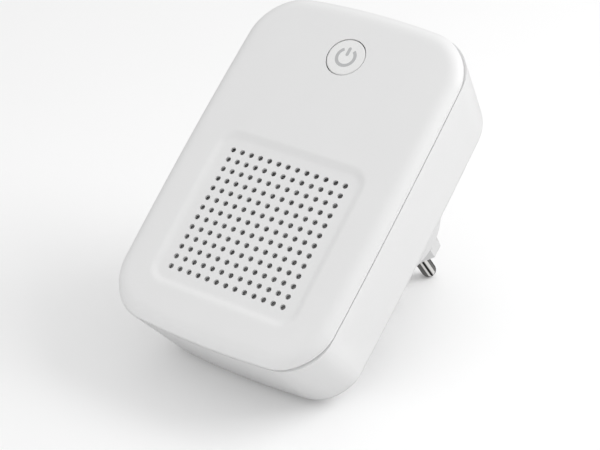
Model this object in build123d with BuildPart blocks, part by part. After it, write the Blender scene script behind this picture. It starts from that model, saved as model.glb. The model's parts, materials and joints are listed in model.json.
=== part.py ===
from build123d import *

import math
import os

# Plug-in ultrasonic pest repeller, millimetres.
# +Z is up, the grille faces -Y and the plug pins point along +Y.
# The origin is midway between the pins, on the end face of the plug nose.
# "Reach" is a distance forward of that end face, towards -Y.

# --- Casing -----------------------------------------------------------------------------
CASE_WIDTH = 61.0
CASE_HEIGHT = 92.6
CASE_CENTRE_Z = -10.8
CORNER_R = 11.5
SIDE_BOW = 0.5
END_BOW = 1.9
CASE_WALL = 2.0
CASE_DEPTH = 27.0
DRAFT_DEG = 4.5
BACK_EDGE_R = 5.0

COVER_WALL = 1.8
COVER_DEPTH = 4.2
COVER_ROLL_WIDTH = 2.2
COVER_ROLL_DROP = 1.8
COVER_ROLL_R = 6.0
COVER_EDGE_R = 0.5
PARTING_GAP = 0.3
CROWN_ACROSS_R = 595.0
CROWN_UP_R = 1652.0
LIP_DEPTH = 2.6
LIP_WALL = 1.2
LIP_FIT = 0.15

# --- Plug -------------------------------------------------------------------------------
BOSS_DIAMETER = 37.0
BOSS_LENGTH = 19.9
BOSS_WALL = 2.0
BOSS_END_WALL = 2.7
BOSS_FIT = 0.1
NECK_STEP = 0.2
BOSS_EDGE_R = 0.8
NOSE_WIDTH = 36.4
NOSE_HEIGHT = 15.0
NOSE_END_HEIGHT = 3.4
NOSE_SHOULDER_WIDTH = 24.0
NOSE_LENGTH = 4.3
NOSE_EDGE_R = 0.4
EARTH_NOTCH_WIDTH = 8.0
EARTH_NOTCH_DEPTH = 3.6
EARTH_NOTCH_STOP = 1.0
FLANGE_DIAMETER = 48.0
SEAT_HEIGHT = 2.0
FLANGE_THICKNESS = 2.2
FLANGE_SCREW_PCD = 43.0
FLANGE_SCREW_COUNT = 4
FLANGE_SCREW_BITE = 3.2
PIN_DIAMETER = 4.0
PIN_SPACING = 19.0
PIN_LENGTH = 19.0
PIN_ROOT_DIAMETER = 4.6
PIN_TAIL_LENGTH = 4.0
PIN_TAIL_DIAMETER = 3.0
PIN_TIP_R = 1.9

# --- Grille -----------------------------------------------------------------------------
GRILLE_CENTRE_Z = -26.0
HOLES_PER_SIDE = 13
HOLE_PITCH = 2.7
HOLE_DIAMETER = 1.4
RECESS_DEPTH = 0.5
RECESS_MARGIN = 3.7
RECESS_SLOPE = 1.4
RECESS_LEDGE = 0.08
RECESS_CORNER_R = 3.4

# --- Button -----------------------------------------------------------------------------
BUTTON_Z = 21.4
BUTTON_DIAMETER = 9.9
BUTTON_GAP = 0.25
BUTTON_TRAVEL = 0.5
BUTTON_EDGE_R = 0.3
BUTTON_SKIN = 1.0
BUTTON_WALL = 1.0
BUTTON_FLANGE_WIDTH = 1.5
BUTTON_FLANGE_THICKNESS = 1.0
BUTTON_STOP_GAP = 0.1
COLLAR_LENGTH = 4.6
COLLAR_WALL = 1.3
STEM_DIAMETER = 2.6
STEM_DROP = 1.4
WEB_THICKNESS = 1.0
WEB_HEIGHT = 4.0
SYMBOL_DIAMETER = 5.6
SYMBOL_STROKE = 0.85
SYMBOL_GAP_DEG = 70.0
SYMBOL_BAR_LENGTH = 2.5
WINDOW_THICKNESS = 0.8
WINDOW_FIT = 0.1

# --- Tactile switch, its board and its lamp -------------------------------------------------
SWITCH_SIZE = 6.0
SWITCH_CORNER_R = 0.5
SWITCH_HEIGHT = 3.5
SWITCH_PLATE_THICKNESS = 0.3
PLUNGER_DIAMETER = 3.4
PLUNGER_HEIGHT = 1.4
PLUNGER_CHAMFER = 0.2
PLUNGER_BORE_GAP = 0.05
PLUNGER_SEAT_DEPTH = 1.2
PLUNGER_OVERRUN = 0.6
BUTTON_BOARD_WIDTH = 26.0
BUTTON_BOARD_HEIGHT = 15.0
BOARD_THICKNESS = 1.6
BOARD_CORNER_R = 1.5
BUTTON_POST_SPACING = 20.6
BUTTON_POST_DIAMETER = 4.6
BUTTON_SCREW_BITE = 5.0
LED_DIAMETER = 3.0
LED_HEIGHT = 4.6
LED_DOME_R = 1.4
LED_FLANGE_DIAMETER = 3.7
LED_FLANGE_HEIGHT = 1.0
LED_OFFSET = 4.95
LINK_PIN_COUNT = 4
LINK_PIN_PITCH = 2.54
LINK_PIN_SIZE = 0.6
LINK_BASE_WIDTH = 2.4
LINK_BASE_HEIGHT = 2.5
LINK_DROP = 5.5

# --- Screws -----------------------------------------------------------------------------
SCREW_DIAMETER = 2.4
SCREW_HEAD_DIAMETER = 4.4
SCREW_HEAD_HEIGHT = 1.5
SCREW_CLEARANCE = 0.25
CROSS_SLOT_WIDTH = 0.6
CROSS_SLOT_SHARE = 0.6
CROSS_SLOT_DEPTH = 0.8
SMALL_SCREW_DIAMETER = 1.8
SMALL_HEAD_DIAMETER = 3.4
SMALL_HEAD_HEIGHT = 1.2
TOP_SCREW_X = 19.0
TOP_SCREW_RISE = 33.5
BOTTOM_SCREW_DROP = 38.6
TOWER_DIAMETER = 7.0
TOWER_LENGTH = 12.0
COVER_BOSS_DIAMETER = 6.0
COUNTERBORE_DEPTH = 6.0
CASE_SCREW_BITE = 7.0

# --- Main board and what stands on it ---------------------------------------------------------
MAIN_BOARD_WIDTH = 50.0
MAIN_BOARD_HEIGHT = 63.2
MAIN_BOARD_CENTRE_Z = -13.0
MAIN_BOARD_POST_LENGTH = 6.8
MAIN_BOARD_POST_DIAMETER = 4.6
MAIN_BOARD_HOLE_X = 22.0
MAIN_BOARD_HOLE_Z = 28.6
MAIN_SCREW_BITE = 4.0
LEAD_DIAMETER = 1.6
LEAD_ARC_SHARE = 0.45
LEAD_WALL_GAP = 2.2
LEAD_PAD_Z = 5.0

MAINS_CAP_SIZE = (6.0, 13.0, 11.0)
MAINS_CAP_PLACE = (-20.0, 3.0)
BLOCK_EDGE_R = 0.6
COIL_STAND = 0.4
COIL_GAP = 0.2
CORE_SIZE = (14.0, 13.0, 11.0)
CORE_LEG = 3.0
CORE_PLACE = (-8.0, 3.0)
CAN_DIAMETER = 8.0
CAN_HEIGHT = 11.5
CAN_EDGE_R = 0.6
CAN_PLACES = ((5.0, 2.0), (14.5, 2.0))
FUSE_DIAMETER = 3.6
FUSE_LENGTH = 10.0
FUSE_CHAMFER = 0.3
FUSE_PLACE = (-14.0, 14.5)
BRIDGE_SIZE = (6.4, 4.6, 2.5)
BRIDGE_PLACE = (12.5, 13.0)
CHIP_SIZE = (4.9, 3.9, 1.5)
CHIP_LEG_PITCH = 1.27
CHIP_LEG_SPAN = 6.0
CHIP_LEGS_PER_SIDE = 4
CHIP_LEG_WIDTH = 0.45
CHIP_LEG_THICKNESS = 0.25
CHIP_PLACE = (14.0, -13.0)
TRANSISTOR_SIZE = (2.9, 1.5, 1.1)
TRANSISTOR_PLACES = ((3.0, -13.0), (-4.0, -13.0), (-11.0, -13.0))
RESISTOR_SIZE = (3.2, 1.6, 0.6)
RESISTOR_PLACES = ((-16.0, -30.0), (-16.0, -34.0), (-8.0, -30.0), (-8.0, -34.0), (14.0, -30.0), (14.0, -34.0))

# --- Loudspeaker ------------------------------------------------------------------------
MESH_SIZE = 37.0
MESH_CORNER_CUT = 3.0
MESH_THICKNESS = 0.25
MESH_GAP = 0.1
GASKET_THICKNESS = 1.0
GASKET_INNER_DIAMETER = 35.0
SPEAKER_FLANGE_DIAMETER = 39.4
SPEAKER_FLANGE_THICKNESS = 1.8
SPEAKER_SCREW_SPACING = 44.4
SPEAKER_SCREW_BITE = 2.0
SPEAKER_POST_DIAMETER = 4.0
SPEAKER_EAR_WIDTH = 5.4
HORN_DIAMETER = 37.0
HORN_DEPTH = 5.4
HORN_MOUTH_DIAMETER = 34.0
HORN_THROAT_DIAMETER = 24.0
CONE_CENTRE_DIAMETER = 5.0
CONE_DEPTH = 2.6
CONE_THICKNESS = 0.4
CONE_RIM_INSET = 0.6
PIEZO_PLATE_DIAMETER = 20.0
PIEZO_PLATE_THICKNESS = 0.3
PIEZO_CERAMIC_DIAMETER = 14.0
PIEZO_CERAMIC_THICKNESS = 0.3
BACK_CAP_DEPTH = 4.6
BACK_CAP_WALL = 1.2
BACK_CAP_RIM = 2.6
BACK_CAP_EDGE_R = 0.8
TERMINAL_SPACING = 8.0
TERMINAL_SIZE = (2.8, 0.5, 1.8)
SPEAKER_LEAD_DIAMETER = 1.0
SPEAKER_PAD_SPACING = 19.0

# --- Label --------------------------------------------------------------------------------
LABEL_SIZE = (34.0, 20.0)
LABEL_Z = -35.6
LABEL_THICKNESS = 0.15
LABEL_RECESS = 0.25
LABEL_MARGIN = 0.4

# --- Stations worked out from the sizes above ---------------------------------------------------
BACK_REACH = NOSE_LENGTH + BOSS_LENGTH
RIM_REACH = BACK_REACH + CASE_DEPTH
CROWN_REACH = RIM_REACH + COVER_DEPTH
CASE_FLOOR_REACH = BACK_REACH + CASE_WALL
DRAFT_SLOPE = math.tan(math.radians(DRAFT_DEG))
BACK_INSET = CASE_DEPTH * DRAFT_SLOPE
BOARD_BACK_REACH = CASE_FLOOR_REACH + MAIN_BOARD_POST_LENGTH
BOARD_FRONT_REACH = BOARD_BACK_REACH + BOARD_THICKNESS
TOWER_REACH = CASE_FLOOR_REACH + TOWER_LENGTH
SCREW_SEAT_REACH = BACK_REACH + COUNTERBORE_DEPTH
FLANGE_SEAT_REACH = CASE_FLOOR_REACH + SEAT_HEIGHT
FLANGE_FACE_REACH = FLANGE_SEAT_REACH + FLANGE_THICKNESS
PIN_SEAT_REACH = NOSE_LENGTH + BOSS_END_WALL
LEAD_PAD_X = BOSS_DIAMETER / 2 - BOSS_WALL - LEAD_WALL_GAP - LEAD_DIAMETER / 2
COVER_BACK_REACH = RIM_REACH + PARTING_GAP
RIB_ROOT_REACH = CROWN_REACH - COVER_WALL + 0.2
LIP_INSET = CASE_WALL + LIP_FIT
LIP_TAPER = LIP_DEPTH * DRAFT_SLOPE
LIP_END_REACH = COVER_BACK_REACH - LIP_DEPTH


def crown_drop(x, z):
    """How far the crowned face has fallen back at a place on it."""
    rise = z - CASE_CENTRE_Z
    return x**2 / (2 * CROWN_ACROSS_R) + rise**2 / (2 * CROWN_UP_R)


HALF_GRILLE = HOLE_PITCH * (HOLES_PER_SIDE - 1) / 2
MESH_FRONT_REACH = (
    CROWN_REACH
    - COVER_WALL
    - crown_drop(MESH_SIZE / 2, GRILLE_CENTRE_Z - MESH_SIZE / 2)
    - MESH_GAP
)
MESH_BACK_REACH = MESH_FRONT_REACH - MESH_THICKNESS
FLANGE_FRONT_REACH = MESH_BACK_REACH - GASKET_THICKNESS
FLANGE_BACK_REACH = FLANGE_FRONT_REACH - SPEAKER_FLANGE_THICKNESS
HORN_BACK_REACH = FLANGE_BACK_REACH - HORN_DEPTH
CAP_FRONT_REACH = HORN_BACK_REACH - CONE_THICKNESS
CAP_BACK_REACH = CAP_FRONT_REACH - BACK_CAP_DEPTH
CONE_APEX_REACH = CAP_FRONT_REACH - CONE_DEPTH
PIEZO_PLATE_REACH = CONE_APEX_REACH - PIEZO_PLATE_THICKNESS
PIEZO_CERAMIC_REACH = PIEZO_PLATE_REACH - PIEZO_CERAMIC_THICKNESS

BUTTON_FACE_REACH = CROWN_REACH - crown_drop(0, BUTTON_Z)
COLLAR_END_REACH = CROWN_REACH - COVER_WALL - COLLAR_LENGTH
FLANGE_TOP_REACH = COLLAR_END_REACH - BUTTON_STOP_GAP
PLUNGER_BORE_DEPTH = PLUNGER_SEAT_DEPTH + BUTTON_TRAVEL + PLUNGER_OVERRUN
STEM_END_REACH = FLANGE_TOP_REACH - BUTTON_FLANGE_THICKNESS - STEM_DROP
SWITCH_TOP_REACH = STEM_END_REACH - PLUNGER_HEIGHT
BUTTON_BOARD_FRONT_REACH = SWITCH_TOP_REACH - SWITCH_HEIGHT
BUTTON_BOARD_BACK_REACH = BUTTON_BOARD_FRONT_REACH - BOARD_THICKNESS


def at(reach, z=0.0, x=0.0):
    """A sketch plane that faces forward: its x is +X, its y is +Z, its normal is -Y."""
    return Plane(origin=(x, -reach, z), x_dir=(1, 0, 0), z_dir=(0, -1, 0))


def back_facing(reach, z=0.0):
    """A sketch plane that faces backward: its x is +X, its y is -Z, its normal is +Y."""
    return Plane(origin=(0, -reach, z), x_dir=(1, 0, 0), z_dir=(0, 1, 0))


def case_outline(inset, taper=0.0):
    """The casing's rounded outline with bowed sides, drawn in by an inset.

    A taper draws it in further and leaves its corners as round as they were.
    """
    half_width = CASE_WIDTH / 2 - inset - taper
    half_height = CASE_HEIGHT / 2 - inset - taper
    corner_x = half_width - SIDE_BOW
    corner_y = half_height - END_BOW
    with BuildSketch() as outline:
        with BuildLine():
            ThreePointArc((-corner_x, -corner_y), (0, -half_height), (corner_x, -corner_y))
            ThreePointArc((corner_x, -corner_y), (half_width, 0), (corner_x, corner_y))
            ThreePointArc((corner_x, corner_y), (0, half_height), (-corner_x, corner_y))
            ThreePointArc((-corner_x, corner_y), (-half_width, 0), (-corner_x, -corner_y))
        make_face()
        fillet(outline.vertices(), CORNER_R - inset)
    return outline.sketch


def crown_block(drop):
    """Everything behind the doubly crowned face, with that face lowered by a drop."""
    span_x = 0.6 * CASE_WIDTH
    span_z = 0.6 * CASE_HEIGHT
    fall_x = crown_drop(span_x, CASE_CENTRE_Z)
    fall_z = crown_drop(0, CASE_CENTRE_Z + span_z)
    # A parabola's middle control point stands as far above the crown as its ends lie below.
    places_x = ((-span_x, fall_x), (0, -fall_x), (span_x, fall_x))
    places_z = (
        (CASE_CENTRE_Z - span_z, fall_z), (CASE_CENTRE_Z, -fall_z), (CASE_CENTRE_Z + span_z, fall_z)
    )
    grid = [
        [(x, drop - CROWN_REACH + sink_x + sink_z, z) for z, sink_z in places_z]
        for x, sink_x in places_x
    ]
    with BuildPart() as block:
        extrude(Face.make_bezier_surface(grid), amount=CASE_DEPTH, dir=(0, 1, 0))
    return block.part


def case_screw_places():
    """Two screws near the top corners and one below the loudspeaker."""
    return Locations(
        (-TOP_SCREW_X, TOP_SCREW_RISE), (TOP_SCREW_X, TOP_SCREW_RISE), (0, -BOTTOM_SCREW_DROP)
    )


def main_board_places():
    return GridLocations(2 * MAIN_BOARD_HOLE_X, 2 * MAIN_BOARD_HOLE_Z, 2, 2)


def speaker_screw_places():
    return GridLocations(SPEAKER_SCREW_SPACING, 1, 2, 1)


def button_post_places():
    return GridLocations(BUTTON_POST_SPACING, 1, 2, 1)


def flange_screw_places():
    return PolarLocations(FLANGE_SCREW_PCD / 2, FLANGE_SCREW_COUNT, start_angle=45)


def power_symbol():
    """A broken ring with an upright bar in its gap."""
    ring_r = (SYMBOL_DIAMETER - SYMBOL_STROKE) / 2
    with BuildSketch() as symbol:
        with BuildLine():
            CenterArc((0, 0), ring_r, 90 + SYMBOL_GAP_DEG / 2, 360 - SYMBOL_GAP_DEG)
        trace(line_width=SYMBOL_STROKE)
        with Locations((0, ring_r - SYMBOL_BAR_LENGTH / 2 + SYMBOL_STROKE / 2)):
            SlotOverall(SYMBOL_BAR_LENGTH, SYMBOL_STROKE, rotation=90)
    return symbol.sketch


def nose_outline():
    """The plug nose: a wide flat hexagon with narrow upright ends."""
    half_width = NOSE_WIDTH / 2
    half_height = NOSE_HEIGHT / 2
    half_shoulder = NOSE_SHOULDER_WIDTH / 2
    half_end = NOSE_END_HEIGHT / 2
    with BuildSketch() as nose:
        with BuildLine():
            Polyline(
                (-half_width, -half_end),
                (-half_shoulder, -half_height),
                (half_shoulder, -half_height),
                (half_width, -half_end),
                (half_width, half_end),
                (half_shoulder, half_height),
                (-half_shoulder, half_height),
                (-half_width, half_end),
                close=True,
            )
        make_face()
    return nose.sketch


def screws(places, count, plane, shank_d, length, head_d, head_h):
    """Cross-recess pan screws driven along the plane's normal, heads standing behind it."""
    with BuildPart() as group:
        with BuildSketch(plane):
            with places:
                Circle(head_d / 2)
        extrude(amount=-head_h)
        driving_way = Axis(plane.origin, plane.z_dir)
        fillet(group.faces().sort_by(driving_way)[:count].edges(), head_h / 3)
        with BuildSketch(plane):
            with places:
                Circle(shank_d / 2)
        extrude(amount=length)
        with BuildSketch(plane.offset(-head_h)):
            with places:
                Rectangle(head_d * CROSS_SLOT_SHARE, CROSS_SLOT_WIDTH)
                Rectangle(CROSS_SLOT_WIDTH, head_d * CROSS_SLOT_SHARE)
        extrude(amount=CROSS_SLOT_DEPTH, mode=Mode.SUBTRACT)
    return group.part


def blocks(places, size, base_reach):
    """Equal blocks standing forward on a board; size is width, height and depth."""
    with BuildPart() as group:
        with BuildSketch(at(base_reach)):
            with Locations(*places):
                Rectangle(size[0], size[1])
        extrude(amount=size[2])
    return group.part


def lead(points, diameter):
    """A round lead along straight runs joined by the largest arcs that the runs allow."""
    corners = [Vector(p) for p in points]
    radii = []
    for before, corner, after in zip(corners, corners[1:], corners[2:]):
        run_in = corner - before
        run_out = after - corner
        half_turn = math.radians(run_in.get_angle(run_out)) / 2
        radii.append(LEAD_ARC_SHARE * min(run_in.length, run_out.length) / math.tan(half_turn))
    with BuildPart() as tube:
        with BuildLine() as route:
            FilletPolyline(*points, radius=radii)
        start = Plane(origin=route.wire() @ 0, z_dir=route.wire() % 0)
        with BuildSketch(start):
            Circle(diameter / 2)
        sweep()
    return tube.part


def write(piece, name):
    """Label a finished piece and write it under its own name."""
    piece.label = name
    export_step(piece, f"parts/{name}.step")


os.makedirs("parts", exist_ok=True)

# === Front cover ==============================================================================
# Crowned and rolled at its edge, hollow behind, with a lip that enters the housing.
FLOOR_SIDE = 2 * (HALF_GRILLE + RECESS_MARGIN)

with BuildPart() as recess:
    with BuildSketch(at(RIM_REACH, GRILLE_CENTRE_Z)):
        RectangleRounded(FLOOR_SIDE, FLOOR_SIDE, RECESS_CORNER_R)
    extrude(amount=2 * COVER_DEPTH)
    add(crown_block(RECESS_DEPTH), mode=Mode.SUBTRACT)

with BuildPart() as cover_hollow:
    with BuildSketch(at(COVER_BACK_REACH, CASE_CENTRE_Z)):
        add(case_outline(COVER_WALL))
    extrude(amount=2 * COVER_DEPTH)
    add(crown_block(COVER_WALL), mode=Mode.INTERSECT)

# The lip, screw bosses, loudspeaker posts, button posts and button collar, rooted in the face.
with BuildPart() as cover_ribs:
    with BuildSketch(at(LIP_END_REACH, CASE_CENTRE_Z)):
        add(case_outline(LIP_INSET, LIP_TAPER))
        add(case_outline(LIP_INSET + LIP_WALL, LIP_TAPER), mode=Mode.SUBTRACT)
    extrude(amount=RIB_ROOT_REACH - LIP_END_REACH)
    with BuildSketch(at(TOWER_REACH, CASE_CENTRE_Z)):
        with case_screw_places():
            Circle(COVER_BOSS_DIAMETER / 2)
    extrude(amount=RIB_ROOT_REACH - TOWER_REACH)
    with BuildSketch(at(TOWER_REACH, CASE_CENTRE_Z)):
        with case_screw_places():
            Circle(SCREW_DIAMETER / 2)
    extrude(amount=CASE_SCREW_BITE, mode=Mode.SUBTRACT)
    with BuildSketch(at(FLANGE_FRONT_REACH, GRILLE_CENTRE_Z)):
        with speaker_screw_places():
            Circle(SPEAKER_POST_DIAMETER / 2)
    extrude(amount=RIB_ROOT_REACH - FLANGE_FRONT_REACH)
    with BuildSketch(at(BUTTON_BOARD_FRONT_REACH, BUTTON_Z)):
        with button_post_places():
            Circle(BUTTON_POST_DIAMETER / 2)
    extrude(amount=RIB_ROOT_REACH - BUTTON_BOARD_FRONT_REACH)
    with BuildSketch(at(BUTTON_BOARD_FRONT_REACH, BUTTON_Z)):
        with button_post_places():
            Circle(SMALL_SCREW_DIAMETER / 2)
    extrude(amount=BUTTON_SCREW_BITE, mode=Mode.SUBTRACT)
    with BuildSketch(at(COLLAR_END_REACH, BUTTON_Z)):
        Circle(BUTTON_DIAMETER / 2 + BUTTON_GAP + COLLAR_WALL)
    extrude(amount=RIB_ROOT_REACH - COLLAR_END_REACH)

with BuildPart() as front_cover:
    with BuildSketch(at(COVER_BACK_REACH, CASE_CENTRE_Z)):
        add(case_outline(0))
    extrude(amount=2 * COVER_DEPTH)
    add(crown_block(0), mode=Mode.INTERSECT)
    crowned_face = front_cover.faces().sort_by(Axis.Y)[0]
    chamfer(crowned_face.edges(), COVER_ROLL_WIDTH, COVER_ROLL_DROP, reference=crowned_face)
    fillet(front_cover.faces().sort_by(Axis.Y)[0].edges(), COVER_ROLL_R)
    wall_tops = [
        edge
        for edge in front_cover.faces().filter_by(GeomType.CYLINDER).edges()
        if edge.center().Y < -COVER_BACK_REACH - COVER_EDGE_R and abs(edge.tangent_at(0.5).Y) < 0.5
    ]
    fillet(wall_tops, COVER_EDGE_R)
    add(recess.part, mode=Mode.SUBTRACT)
    crowned_face = front_cover.faces().sort_by(Axis.Y)[0]
    chamfer(
        crowned_face.inner_wires()[0].edges(),
        RECESS_SLOPE,
        RECESS_DEPTH - RECESS_LEDGE,
        reference=crowned_face,
    )
    add(cover_hollow.part, mode=Mode.SUBTRACT)
    add(cover_ribs.part)
    with BuildSketch(at(FLANGE_FRONT_REACH, GRILLE_CENTRE_Z)):
        with speaker_screw_places():
            Circle(SMALL_SCREW_DIAMETER / 2)
    extrude(amount=SPEAKER_SCREW_BITE, mode=Mode.SUBTRACT)
    with BuildSketch(at(TOWER_REACH, BUTTON_Z)):
        Circle(BUTTON_DIAMETER / 2 + BUTTON_GAP)
    extrude(amount=CROWN_REACH - TOWER_REACH, mode=Mode.SUBTRACT)
    with BuildSketch(at(RIM_REACH, GRILLE_CENTRE_Z)):
        with GridLocations(HOLE_PITCH, HOLE_PITCH, HOLES_PER_SIDE, HOLES_PER_SIDE):
            Circle(HOLE_DIAMETER / 2)
    extrude(amount=CROWN_REACH - RIM_REACH, mode=Mode.SUBTRACT)
write(front_cover.part, "front_cover")

# === Rear housing =============================================================================
# Tapered shell with a rolled back edge, screw towers, board posts and a seat for the plug.
with BuildPart() as case_hollow:
    with BuildSketch(at(CASE_FLOOR_REACH, CASE_CENTRE_Z)):
        add(case_outline(CASE_WALL, BACK_INSET))
    with BuildSketch(at(RIM_REACH, CASE_CENTRE_Z)):
        add(case_outline(CASE_WALL))
    loft(ruled=True)
    fillet(case_hollow.faces().sort_by(Axis.Y)[-1].edges(), BACK_EDGE_R - CASE_WALL)

with BuildPart() as rear_housing:
    with BuildSketch(at(BACK_REACH, CASE_CENTRE_Z)):
        add(case_outline(0, BACK_INSET))
    with BuildSketch(at(RIM_REACH, CASE_CENTRE_Z)):
        add(case_outline(0))
    loft(ruled=True)
    fillet(rear_housing.faces().sort_by(Axis.Y)[-1].edges(), BACK_EDGE_R)
    add(case_hollow.part, mode=Mode.SUBTRACT)
    with BuildSketch(at(CASE_FLOOR_REACH, CASE_CENTRE_Z)):
        with case_screw_places():
            Circle(TOWER_DIAMETER / 2)
    extrude(amount=TOWER_LENGTH)
    with BuildSketch(at(CASE_FLOOR_REACH, MAIN_BOARD_CENTRE_Z)):
        with main_board_places():
            Circle(MAIN_BOARD_POST_DIAMETER / 2)
    extrude(amount=MAIN_BOARD_POST_LENGTH)
    with BuildSketch(at(CASE_FLOOR_REACH)):
        Circle(FLANGE_DIAMETER / 2)
    extrude(amount=SEAT_HEIGHT)
    with BuildSketch(at(BACK_REACH)):
        Circle(BOSS_DIAMETER / 2 + BOSS_FIT)
    extrude(amount=CASE_WALL + SEAT_HEIGHT, mode=Mode.SUBTRACT)
    with BuildSketch(at(BACK_REACH, CASE_CENTRE_Z)):
        with case_screw_places():
            Circle(SCREW_DIAMETER / 2 + SCREW_CLEARANCE)
    extrude(amount=TOWER_REACH - BACK_REACH, mode=Mode.SUBTRACT)
    with BuildSketch(at(BACK_REACH, CASE_CENTRE_Z)):
        with case_screw_places():
            Circle(SCREW_HEAD_DIAMETER / 2 + SCREW_CLEARANCE)
    extrude(amount=COUNTERBORE_DEPTH, mode=Mode.SUBTRACT)
    with BuildSketch(back_facing(BOARD_BACK_REACH, MAIN_BOARD_CENTRE_Z)):
        with main_board_places():
            Circle(SMALL_SCREW_DIAMETER / 2)
    extrude(amount=MAIN_SCREW_BITE, mode=Mode.SUBTRACT)
    with BuildSketch(back_facing(FLANGE_SEAT_REACH)):
        with flange_screw_places():
            Circle(SMALL_SCREW_DIAMETER / 2)
    extrude(amount=FLANGE_SCREW_BITE, mode=Mode.SUBTRACT)
    with BuildSketch(at(BACK_REACH, LABEL_Z)):
        Rectangle(LABEL_SIZE[0] + LABEL_MARGIN, LABEL_SIZE[1] + LABEL_MARGIN)
    extrude(amount=LABEL_RECESS, mode=Mode.SUBTRACT)
write(rear_housing.part, "rear_housing")

with BuildPart() as rating_label:
    with BuildSketch(at(BACK_REACH + LABEL_RECESS - LABEL_THICKNESS, LABEL_Z)):
        RectangleRounded(*LABEL_SIZE, LABEL_MARGIN)
    extrude(amount=LABEL_THICKNESS)
write(rating_label.part, "rating_label")

# === Plug =====================================================================================
# A round boss with a flat six-sided nose, notched for earth clips, flanged inside the case.
NOTCH_FLOOR = BOSS_DIAMETER / 2 - EARTH_NOTCH_DEPTH
with BuildPart() as plug_body:
    with BuildSketch(at(NOSE_LENGTH)):
        Circle(BOSS_DIAMETER / 2)
    extrude(amount=BACK_REACH - NOSE_LENGTH)
    fillet(plug_body.faces().sort_by(Axis.Y)[-1].edges(), BOSS_EDGE_R)
    with BuildSketch(at(0)):
        add(nose_outline())
    extrude(amount=NOSE_LENGTH)
    fillet(plug_body.faces().sort_by(Axis.Y)[-1].edges(), NOSE_EDGE_R)
    with BuildSketch(at(0)):
        with Locations((0, NOTCH_FLOOR + EARTH_NOTCH_DEPTH), (0, -NOTCH_FLOOR - EARTH_NOTCH_DEPTH)):
            Rectangle(EARTH_NOTCH_WIDTH, 2 * EARTH_NOTCH_DEPTH)
    extrude(amount=BACK_REACH - EARTH_NOTCH_STOP, mode=Mode.SUBTRACT)
    with BuildSketch(at(BACK_REACH)):
        Circle(BOSS_DIAMETER / 2 - NECK_STEP)
    extrude(amount=FLANGE_SEAT_REACH - BACK_REACH)
    with BuildSketch(at(FLANGE_SEAT_REACH)):
        Circle(FLANGE_DIAMETER / 2)
    extrude(amount=FLANGE_THICKNESS)
    with BuildSketch(at(PIN_SEAT_REACH)):
        Circle(BOSS_DIAMETER / 2 - BOSS_WALL)
        with Locations((0, NOTCH_FLOOR), (0, -NOTCH_FLOOR)):
            Rectangle(EARTH_NOTCH_WIDTH + 2 * BOSS_WALL, 2 * BOSS_WALL, mode=Mode.SUBTRACT)
            Rectangle(EARTH_NOTCH_WIDTH + 2 * BOSS_WALL, 2 * EARTH_NOTCH_DEPTH, mode=Mode.SUBTRACT)
    extrude(amount=FLANGE_FACE_REACH - PIN_SEAT_REACH, mode=Mode.SUBTRACT)
    with BuildSketch(at(0)):
        with GridLocations(PIN_SPACING, 1, 2, 1):
            Circle(PIN_ROOT_DIAMETER / 2)
    extrude(amount=PIN_SEAT_REACH, mode=Mode.SUBTRACT)
    with BuildSketch(at(FLANGE_SEAT_REACH)):
        with flange_screw_places():
            Circle(SMALL_SCREW_DIAMETER / 2 + SCREW_CLEARANCE)
    extrude(amount=FLANGE_THICKNESS, mode=Mode.SUBTRACT)
write(plug_body.part, "plug_body")

for pin_name, side in (("live_pin", 1), ("neutral_pin", -1)):
    pin_x = side * PIN_SPACING / 2
    with BuildPart() as pin:
        with BuildSketch(at(-PIN_LENGTH, x=pin_x)):
            Circle(PIN_DIAMETER / 2)
        extrude(amount=PIN_LENGTH)
        fillet(pin.faces().sort_by(Axis.Y)[-1].edges(), PIN_TIP_R)
        with BuildSketch(at(0, x=pin_x)):
            Circle(PIN_ROOT_DIAMETER / 2)
        extrude(amount=PIN_SEAT_REACH)
        with BuildSketch(at(PIN_SEAT_REACH, x=pin_x)):
            Circle(PIN_TAIL_DIAMETER / 2)
        extrude(amount=PIN_TAIL_LENGTH)
    write(pin.part, pin_name)

LEAD_START_REACH = PIN_SEAT_REACH + PIN_TAIL_LENGTH
LEAD_RUN = BOARD_BACK_REACH - LEAD_START_REACH
for lead_name, side in (("live_lead", 1), ("neutral_lead", -1)):
    start_x = side * PIN_SPACING / 2
    pad_x = side * LEAD_PAD_X
    route = (
        (start_x, -LEAD_START_REACH, 0),
        (start_x, -LEAD_START_REACH - 0.3 * LEAD_RUN, 0),
        (pad_x, -BOARD_BACK_REACH + 0.3 * LEAD_RUN, LEAD_PAD_Z),
        (pad_x, -BOARD_BACK_REACH, LEAD_PAD_Z),
    )
    write(lead(route, LEAD_DIAMETER), lead_name)

write(
    screws(
        flange_screw_places(),
        FLANGE_SCREW_COUNT,
        back_facing(FLANGE_FACE_REACH),
        SMALL_SCREW_DIAMETER,
        FLANGE_THICKNESS + FLANGE_SCREW_BITE,
        SMALL_HEAD_DIAMETER,
        SMALL_HEAD_HEIGHT,
    ),
    "plug_body_screws",
)

write(
    screws(
        case_screw_places(),
        3,
        at(SCREW_SEAT_REACH, CASE_CENTRE_Z),
        SCREW_DIAMETER,
        TOWER_REACH + CASE_SCREW_BITE - SCREW_SEAT_REACH,
        SCREW_HEAD_DIAMETER,
        SCREW_HEAD_HEIGHT,
    ),
    "case_screws",
)

# === Push button ================================================================================
with BuildPart() as button_window:
    with BuildSketch(at(BUTTON_FACE_REACH - BUTTON_SKIN - WINDOW_THICKNESS, BUTTON_Z)):
        Circle(BUTTON_DIAMETER / 2 - BUTTON_WALL - WINDOW_FIT)
    extrude(amount=WINDOW_THICKNESS)
    with BuildSketch(at(BUTTON_FACE_REACH - BUTTON_SKIN, BUTTON_Z)):
        add(power_symbol())
    extrude(amount=2 * BUTTON_SKIN)
    add(crown_block(0), mode=Mode.INTERSECT)
write(button_window.part, "button_window")

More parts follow.
